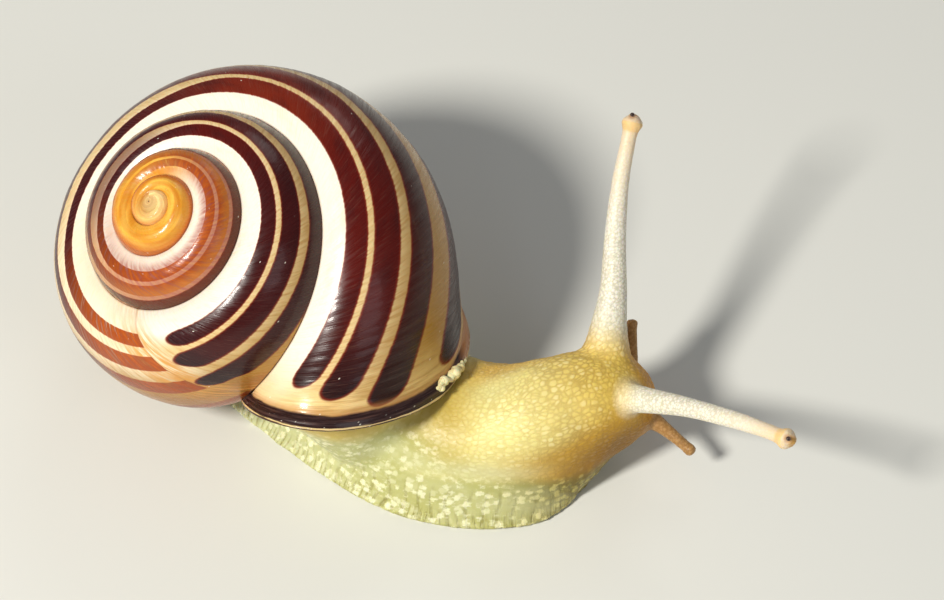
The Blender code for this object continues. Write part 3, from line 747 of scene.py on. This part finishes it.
def build_crust():
    """Lumpy dried slime along the edge of the lip."""
    lumps = []
    for k, row in enumerate(smooth_curve(CRUST, np.linspace(0, len(CRUST) - 1, CRUST_LUMPS))):
        shift = Vector([noise.noise(Vector((k * 0.71, 3.1 * axis, 5.0))) for axis in range(3)])
        radius = max(0.05, row[3] * (0.75 + 0.9 * noise.noise(Vector((k * 0.9, 9.0, 2.0)))))
        bm = bmesh.new()
        bmesh.ops.create_icosphere(bm, subdivisions=3, radius=radius)
        place = Vector(row[:3]) + shift * 0.22
        start = [tuple(v.co + place) for v in bm.verts]
        lumps.append((np.array(start), [[v.index for v in f.verts] for f in bm.faces]))
        bm.free()
    crust = fused("dried_slime", lumps, CRUST_VOXEL)
    points = relax(read_points(crust.data), mesh_edges(crust.data), CRUST_SMOOTHING, 0.5)
    write_points(crust.data, points)
    lump, tone, _ = warts(points / CRUST_CELL, 21)
    points += read_normals(crust.data) * ((lump - 0.5) * 0.035)[:, None]
    write_points(crust.data, points * MM)
    add_attributes(crust, {"wart": lump, "tone": tone})
    return crust


def skin_material():
    made, w, sockets = new_material("snail_flesh")
    ramp, blend, both = w.ramp, w.blend, w.both
    wart, tone, stalk, feeler, eye = w.marks("wart", "tone", "stalk", "feeler", "by_eye")
    along, across, up, out = w.marks("along", "across", "up", "out")
    column, rib, calm = w.marks("column", "rib", "calm")
    where = w.place(along, across, up)
    broad = w.clouds(where, 1, 3, 0.55, stretch=(0.35, 0.5, 0.5))
    grain = w.clouds(where, 7, 2, 0.6)

    # back and flanks of the neck, deeper in colour on the head and the far side; under the chin a
    # deeper orange that is partly the flesh's own colour and partly painted shade
    under = w.less(up, ramp(along, 25, 31, 0, 1.3))
    chin_tint_and_shade = both(ramp(along, 23.5, 27.5), ramp(under, 5.4, 3.6))
    deepest_chin_tint_and_shade = both(ramp(along, 25.5, 30), ramp(under, 4.2, 2))
    crown = w.paint(
        blend(ramp(along, 24, 31), (236, 227, 156), (234, 202, 96)),
        (ramp(across, -0.8, -2.8, 0, 0.8), (222, 170, 58)),
        # the two layers under the chin: deeper orange, partly the flesh's own colour and partly
        # painted shade
        (both(chin_tint_and_shade, 0.85), (202, 150, 10)),
        (both(deepest_chin_tint_and_shade, 0.85), (142, 96, 0)),
        (ramp(along, 31.4, 33, 0, 0.85), (214, 146, 26)))
    valley = blend(ramp(broad, 0.35, 0.6, 0.4, 0.2), crown,
                   blend(ramp(along, 24, 30), (186, 158, 68), (142, 90, 8)))
    # painted highlight: near-white on the tops of some warts, weaker in the painted shade under
    # the chin
    wart_top_highlight = both(ramp(tone, 0.5, 1, 0, 0.25), ramp(wart, 0.3, 1))
    # painted shade: darker ochre on the neck next to the lip of the shell
    shade_by_lip = both(ramp(along, 24.6, 22), ramp(up, 2.9, 4))
    body = w.paint(
        blend(ramp(wart, 0, 0.9), valley, crown),
        (both(wart_top_highlight, ramp(chin_tint_and_shade, 0, 1, 1, 0.3)), (255, 250, 214)),
        (both(calm, 0.55), (206, 206, 166)),
        (both(shade_by_lip, 0.8), (200, 168, 66)))

    # skirt of the foot: clear grey-green flesh with rows of pale spots
    grooved = both(ramp(column, 0.75, 0.3), ramp(along, 14, 27, 0.2, 0.7))
    clear = w.paint(
        blend(ramp(along, 8, 24), (194, 198, 154), (184, 182, 112)),
        (ramp(along, 24, 28.5, 0, 0.95), (116, 94, 6)),
        (both(grooved, ramp(up, 2.4, 1.4)), (136, 128, 56)),
        (both(ramp(rib, 0.8, 0.3, 0, 0.7), ramp(up, 1.1, 0.5)), (150, 142, 76)))
    ragged_wart = w.plus(wart, ramp(grain, 0.25, 0.75, -0.38, 0.38))
    spot = both(ramp(ragged_wart, 0.1, 0.95), ramp(tone, 0, 0.8, 0.1, 1))
    spot = both(spot, ramp(along, 25, 29, 0.85, 0.55))
    pale = blend(ramp(along, 23.5, 28), (240, 238, 200), (222, 206, 112))
    foot = w.paint(clear, (spot, pale), (ramp(broad, 0.45, 0.7, 0, 0.3), (226, 226, 184)))
    high_foot = both(ramp(along, 25, 20), ramp(up, 5.4, 3.8))
    low_foot = ramp(w.plus(up, both(ramp(along, 25, 29), 0.9)), 3.3, 2.2)

    # stalks and lower feelers
    shaft = blend(ramp(out, 0.4, 0.8), (210, 206, 184), (234, 227, 208))
    stem = w.paint(
        blend(ramp(wart, 0.1, 0.8), shaft, (242, 239, 226)),
        (ramp(out, 0.28, 0.1, 0, 0.45), (240, 230, 180)),
        (ramp(out, 0.5, 0.98), (236, 214, 180)),
        (ramp(out, 0.93, 0.99), (240, 204, 146)),
        (both(eye, 0.55), (170, 108, 68)))
    horn = blend(ramp(wart, 0.1, 0.8), (152, 114, 68), (176, 138, 90))
    body = w.paint(body, (w.most(low_foot, high_foot), foot),
                   (both(stalk, 0.95), stem), (both(feeler, 0.9), horn))
    w.feed(body, sockets["Base Color"])

    w.feed(ramp(grain, 0.3, 0.7, 0.36, 0.54), sockets["Roughness"])
    w.feed(w.bump(grain, 0.3, 0.04), sockets["Normal"])
    set_constants(sockets, Specular_IOR_Level=0.34, Coat_Weight=0.08, Coat_Roughness=0.3,
                  Subsurface_Weight=0.4, Subsurface_Radius=(1, 0.78, 0.34),
                  Subsurface_Scale=0.6 * MM)
    return made


def eye_material():
    made, w, sockets = new_material("snail_eye")
    where = w.node("TexCoord")["Object"]
    cloudy = w.clouds(where, 9000, 2, 0.5)
    w.feed(w.blend(w.ramp(cloudy, 0.35, 0.7), (38, 22, 18), (78, 46, 34)), sockets["Base Color"])
    w.feed(w.ramp(cloudy, 0.3, 0.7, 0.16, 0.3), sockets["Roughness"])
    set_constants(sockets, Coat_Weight=0.6)
    return made


def crust_material():
    made, w, sockets = new_material("dried_slime")
    wart, tone = w.marks("wart", "tone")
    chalk = w.blend(w.ramp(tone, 0.2, 0.9), (220, 206, 150), (240, 232, 184))
    w.feed(w.blend(w.ramp(wart, 0.25, 0), chalk, (188, 162, 104)), sockets["Base Color"])
    w.feed(w.ramp(tone, 0, 1, 0.5, 0.7), sockets["Roughness"])
    set_constants(sockets, Subsurface_Weight=0.2, Subsurface_Scale=0.2 * MM)
    return made


# ---- shader helpers ----
def tint(red, green, blue):
    """Display colour 0..255 as the linear colour a shader takes."""
    linear = [c / 12.92 if c <= 0.04045 else ((c + 0.055) / 1.055) ** 2.4
              for c in (red / 255, green / 255, blue / 255)]
    return (*linear, 1)


class Wiring:
    """Short words for placing and joining the nodes of one material or group; `both` is the
    product of two masks and `most` the larger."""

    def __init__(self, tree):
        self.tree = tree

    def feed(self, value, socket):
        if isinstance(value, bpy.types.NodeSocket):
            self.tree.links.new(value, socket)
        else:
            socket.default_value = value

    def node(self, kind, inputs=None, **settings):
        """Places a node, feeds its inputs by name or number, and gives its outputs."""
        made = self.tree.nodes.new("ShaderNode" + kind)
        for name, value in settings.items():
            setattr(made, name, value)
        for key, value in (inputs or {}).items():
            self.feed(value, made.inputs[key])
        return made.outputs

    def math(self, operation, a, b=0):
        return self.node("Math", {0: a, 1: b}, operation=operation)[0]

    def both(self, a, b):
        return self.math("MULTIPLY", a, b)

    def plus(self, a, b):
        return self.math("ADD", a, b)

    def less(self, a, b):
        return self.math("SUBTRACT", a, b)

    def most(self, a, b):
        return self.math("MAXIMUM", a, b)

    def ramp(self, value, low, high, start=0, end=1):
        """Eases from start to end while the value goes from low to high."""
        return self.node("MapRange", {0: value, 1: low, 2: high, 3: start, 4: end},
                         interpolation_type="SMOOTHSTEP")[0]

    def blend(self, share, a, b):
        """From colour a to colour b; a tuple is a display colour."""
        a, b = [tint(*colour) if isinstance(colour, tuple) else colour for colour in (a, b)]
        return self.node("Mix", {0: share, 6: a, 7: b}, data_type="RGBA")[2]

    def paint(self, colour, *layers):
        """A colour covered by layers in turn, each a share and a colour."""
        for share, layer in layers:
            colour = self.blend(share, colour, layer)
        return colour

    def marks(self, *names):
        return [self.node("Attribute", attribute_name=name)["Fac"] for name in names]

    def place(self, x, y, z=0):
        return self.node("CombineXYZ", {0: x, 1: y, 2: z})[0]

    def clouds(self, vector, scale, detail, roughness, stretch=None):
        """Soft noise; stretch gives the scale along each axis."""
        if stretch:
            vector = self.node("Mapping", {"Vector": vector, "Scale": stretch})[0]
        return self.node("TexNoise", {"Vector": vector, "Scale": scale, "Detail": detail,
                                      "Roughness": roughness})["Fac"]

    def cells(self, vector, scale):
        return self.node("TexVoronoi", {"Vector": vector, "Scale": scale})["Distance"]

    def bump(self, height, strength, distance):
        return self.node("Bump", {"Height": height, "Strength": strength,
                                  "Distance": distance * MM})[0]


def new_material(name):
    made = bpy.data.materials.new(name)
    made.use_nodes = True
    return made, Wiring(made.node_tree), made.node_tree.nodes["Principled BSDF"].inputs


def set_constants(sockets, **values):
    """Values that are the same all over the surface, set on the shader's own sockets."""
    for name, value in values.items():
        sockets[name.replace("_", " ")].default_value = value


def stripe_group():
    """How far a point is from the middle of a spiral band with a rounded tip; 1 is its edge."""
    group = bpy.data.node_groups.new("spiral_stripe", "ShaderNodeTree")
    for label in ("Angle", "Reach", "Centre", "Half Width", "Tip"):
        group.interface.new_socket(label, in_out="INPUT", socket_type="NodeSocketFloat")
    group.interface.new_socket("Distance", in_out="OUTPUT", socket_type="NodeSocketFloat")
    w = Wiring(group)
    given = group.nodes.new("NodeGroupInput").outputs
    out = group.nodes.new("NodeGroupOutput").inputs
    across = w.math("DIVIDE", w.less(given["Angle"], given["Centre"]), given["Half Width"])
    short = w.less(w.plus(given["Tip"], TIP_ROUND), given["Reach"])
    along = w.most(w.math("DIVIDE", short, TIP_ROUND), 0)
    w.feed(w.math("SQRT", w.plus(w.both(across, across), w.both(along, along))), out["Distance"])
    return group


def shell_material(stripe):
    made, w, sockets = new_material("shell_glaze")
    ramp, blend, both, plus, less = w.ramp, w.blend, w.both, w.plus, w.less
    path, around, lip, rest = w.marks("path", "around", "lip", "rest")
    turns, seam, cover = w.marks("turns", "seam", "cover")
    flat = w.place(path, both(around, 0.12))
    lines = w.clouds(flat, 1, 3, 0.65, stretch=(5.5, 0.35, 1))
    fine_lines = w.clouds(flat, 1, 2, 0.6, stretch=(14, 0.5, 1))
    broad = w.clouds(flat, 1, 3, 0.5, stretch=(0.45, 0.5, 1))

    # spiral bands: thinner round the far side, and higher on the older whorls
    ragged = both(less(lines, 0.5), 1.6)
    older, oldest = ramp(turns, 0.9, 1.3), ramp(turns, 1.6, 1.95)
    pinch = plus(both(ramp(turns, 0.4, 0.5), ramp(turns, 0.78, 0.66)),
                 both(ramp(turns, 1.38, 1.52), ramp(turns, 1.84, 1.7)))
    before_rest = both(ramp(turns, 0.64, 0.74), ramp(turns, 0.93, 0.91))
    raised = plus(both(older, 3.5), both(pinch, 2))
    raised = plus(raised, both(oldest, ramp(around, 54, 46, 0, 5.5)))
    raised = plus(raised, both(before_rest, 1.2))
    angle = less(plus(around, ragged), raised)
    past_rest = w.math("GREATER_THAN", rest, 0)
    reach = plus(both(past_rest, plus(rest, 0.95)), both(less(1, past_rest), lip))
    narrow = less(ramp(older, 0, 1, 1, 0.94), both(oldest, 0.03))
    narrow = less(less(narrow, both(pinch, 0.4)), both(before_rest, 0.24))
    nearest = None
    for centre, half_width, tip in BANDS:
        distance = w.node("Group", {"Angle": angle, "Reach": reach, "Centre": centre, "Tip": tip,
                                    "Half Width": both(narrow, half_width)}, node_tree=stripe)[0]
        nearest = distance if nearest is None else w.math("MINIMUM", nearest, distance)
    band = ramp(nearest, 1.06, 0.92)

    # ground colour between the bands
    near_rest = both(ramp(rest, -2.6, -0.2), ramp(rest, 1.3, 0.3))
    near_rest = both(near_rest, ramp(lines, 0.35, 0.6, 0.1, 1))
    near_rest = both(near_rest, ramp(around, 95, 70, 0.3, 1))
    closed = both(ramp(turns, 1.4, 1.55), ramp(turns, 1.8, 1.65))
    blush = both(oldest, ramp(angle, 103, 84))
    gold = w.paint(blend(ramp(broad, 0.35, 0.65), (240, 186, 78), (222, 148, 42)),
                   (ramp(around, 66, 42, 0, 0.8), (190, 84, 24)))
    ground = w.paint(
        blend(ramp(around, 66, 86), (228, 198, 142), (248, 241, 226)),
        (both(before_rest, 0.75), (250, 236, 206)),
        (ramp(around, 52, 26), (184, 136, 58)),
        (ramp(lip, 4.5, 0.9, 0, 0.8), (240, 206, 136)),
        (both(ramp(lines, 0.4, 0.66), ramp(around, 92, 50, 0.06, 0.7)), (182, 134, 66)),
        (both(ramp(fine_lines, 0.5, 0.7), 0.35),
         blend(ramp(around, 60, 30), (250, 226, 176), (214, 174, 104))),
        (ramp(broad, 0.55, 0.75, 0, 0.3), (244, 208, 150)),
        (both(before_rest, ramp(around, 32, 8, 0, 0.85)), (170, 114, 58)),
        (near_rest, (220, 158, 78)),
        (both(oldest, ramp(angle, 76, 70, 0, 0.6)), (214, 146, 70)),
        (both(closed, ramp(angle, 76, 70, 0, 0.8)), (120, 76, 66)),
        (both(blush, ramp(lines, 0.3, 0.7, 0.55, 1)), (174, 104, 92)),
        (ramp(turns, 2.22, 2.5), gold),
        (ramp(turns, 3.5, 4.3, 0, 0.8), (252, 224, 160)))

    # pigment of the bands: brown, warmer before the pause in growth and on the oldest whorls
    second = both(ramp(turns, 0.93, 1), ramp(turns, 1.35, 1.2, 0.1, 0.7))
    newest = both(past_rest, ramp(rest, 5, 0.8))
    deep = w.paint(
        blend(both(ramp(turns, 0.24, 0.36), ramp(turns, 0.6, 0.46, 0, 0.7)),
              (86, 15, 8), (126, 40, 18)),
        (ramp(lip, 9, 1.5), (38, 20, 20)),
        (ramp(around, 44, 30, 0, 0.6), (50, 24, 14)),
        (both(ramp(broad, 0.45, 0.7), 0.5), (54, 14, 14)),
        (second, (50, 12, 14)),
        (newest, (44, 22, 26)),
        (both(pinch, 0.6), (52, 26, 30)))
    faded = both(ramp(rest, -9, -2), w.math("LESS_THAN", rest, 0))
    aged = both(ramp(turns, 1.6, 1.95), ramp(angle, 37, 42, 0.1, 1))
    warm = w.most(faded, aged)
    orange = w.paint(blend(ramp(lines, 0.3, 0.7), (192, 98, 36), (136, 44, 14)),
                     (both(oldest, ramp(angle, 64, 48, 0, 0.6)), (206, 130, 54)))
    # painted highlight: thin lighter streaks along the growth lines on the bands, strongest on the
    # last whorl
    growth_line_glint = both(ramp(fine_lines, 0.56, 0.72), ramp(turns, 1.2, 0.9, 0.06, 0.22))
    pigment = w.paint(deep, (both(ramp(nearest, 0.78, 1), 0.8), (140, 42, 18)),
                      (both(warm, 0.92), orange), (growth_line_glint, (132, 96, 80)))
    shown = both(band, ramp(turns, 2.3, 2.7, 1, 0.25))
    frayed = both(warm, ramp(lines, 0.5, 0.72, 0, 0.45))

    # sutures, the pause in growth, the lip, and white specks that are partly dust and partly
    # painted glints
    by_suture = ramp(turns, 2.2, 3.6, 0.85, 0.12)
    rest_line = ramp(w.math("ABSOLUTE", rest), 0.1, 0.02, 0, 0.25)
    stained = plus(lip, both(less(broad, 0.5), 0.5))
    dark_lip = w.paint(blend(ramp(lines, 0.45, 0.7), (46, 28, 28), (86, 60, 54)),
                       (ramp(around, -14, -24, 0, 0.9), (186, 122, 60)))
    chipped = plus(lip, both(less(fine_lines, 0.5), 0.3))
    # white specks near the edge of the lip, partly grit and partly painted glints
    lip_grit_and_glint = both(ramp(w.cells(flat, 3.6), 0.17, 0.1), ramp(lip, 0.5, 0.1, 0, 0.8))
    lip_grit_and_glint = both(lip_grit_and_glint, ramp(lip, -0.3, -0.1))
    speck_dust_and_glint = w.most(ramp(w.cells(flat, 0.9), 0.055, 0.03), lip_grit_and_glint)
    colour = w.paint(
        ground,
        (both(shown, less(1, frayed)), pigment),
        (both(ramp(cover, 0.16, 0.03), by_suture), (70, 24, 20)),
        (ramp(seam, 0.14, 0.02, 0, 0.35), (150, 96, 48)),
        (rest_line, (150, 96, 46)),
        (ramp(stained, 1.5, 0.9, 0, 0.6), (178, 112, 52)),
        (ramp(stained, 0.98, 0.8), dark_lip),
        (ramp(chipped, 0.02, -0.02), (226, 198, 140)),
        (ramp(chipped, -0.05, -0.1), (70, 44, 34)),
        (ramp(lip, -1.8, -3), (196, 170, 160)),
        (both(speck_dust_and_glint, 0.8), (250, 240, 225)))
    w.feed(colour, sockets["Base Color"])

    w.feed(plus(ramp(lines, 0.3, 0.7, 0.2, 0.38), both(speck_dust_and_glint, 0.3)), sockets["Roughness"])
    w.feed(w.bump(plus(both(lines, 0.6), both(fine_lines, 0.4)), 0.35, 0.05), sockets["Normal"])
    set_constants(sockets, Coat_Weight=0.12, Coat_Roughness=0.08, Specular_IOR_Level=0.27,
                  Subsurface_Weight=0.1, Subsurface_Scale=0.4 * MM)
    return made


# ---- camera and studio ----
def place_camera():
    lens = bpy.data.cameras.new("camera")
    lens.lens, lens.sensor_width = CAMERA_LENS, SENSOR_WIDTH
    lens.clip_start, lens.clip_end = 0.01, 5
    camera = in_scene("camera", lens)
    back = Vector((0, -math.cos(CAMERA_ELEVATION), math.sin(CAMERA_ELEVATION)))
    camera.location = (Vector(CAMERA_AIM) + back * CAMERA_DISTANCE) * MM
    camera.rotation_euler = (-back).to_track_quat("-Z", "Y").to_euler()
    bpy.context.scene.camera = camera


def area_light(name, place, aim, size, power, colour):
    lamp = bpy.data.lights.new(name, "AREA")
    lamp.shape, lamp.size, lamp.energy, lamp.color = "DISK", size * MM, power, colour
    made = in_scene(name, lamp)
    made.location = Vector(place) * MM
    made.rotation_euler = (Vector(aim) - Vector(place)).to_track_quat("-Z", "Y").to_euler()


def build_studio():
    bm = bmesh.new()
    bmesh.ops.create_grid(bm, x_segments=1, y_segments=1, size=FLOOR_SIZE / 2 * MM)
    floor = mesh_object("floor", bm)
    paper, _, sockets = new_material("floor_paper")
    set_constants(sockets, Base_Color=tint(*FLOOR_COLOUR), Roughness=0.9)
    floor.data.materials.append(paper)
    for light in LIGHTS:
        area_light(*light)
    bpy.context.scene.view_settings.view_transform = "Standard"
    world = bpy.data.worlds.new("studio_air")
    world.use_nodes = True
    set_constants(world.node_tree.nodes["Background"].inputs, Color=AIR_COLOUR,
                  Strength=AIR_STRENGTH)
    bpy.context.scene.world = world


# ---- assembly ----
place_camera()
build_studio()
stripe = stripe_group()

shell, shell_marks = build_shell()
shape_shell(shell, shell_marks)
shell.data.materials.append(shell_material(stripe))
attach(shell, "root")
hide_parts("shell")

skin = build_skin()
shape_skin(skin)
skin.data.materials.append(skin_material())
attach(skin, "root")
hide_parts(*FLESH_NODES)

eye_look = eye_material()
for side, curve, aim in (("left", FAR_STALK, FAR_EYE_AIM), ("right", NEAR_STALK, NEAR_EYE_AIM)):
    eye = build_eye("eye_ball_" + side, curve, aim)
    eye.data.materials.append(eye_look)
    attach(eye, "root")
    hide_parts("eye_" + side)

crust = build_crust()
crust.data.materials.append(crust_material())
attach(crust, "root")
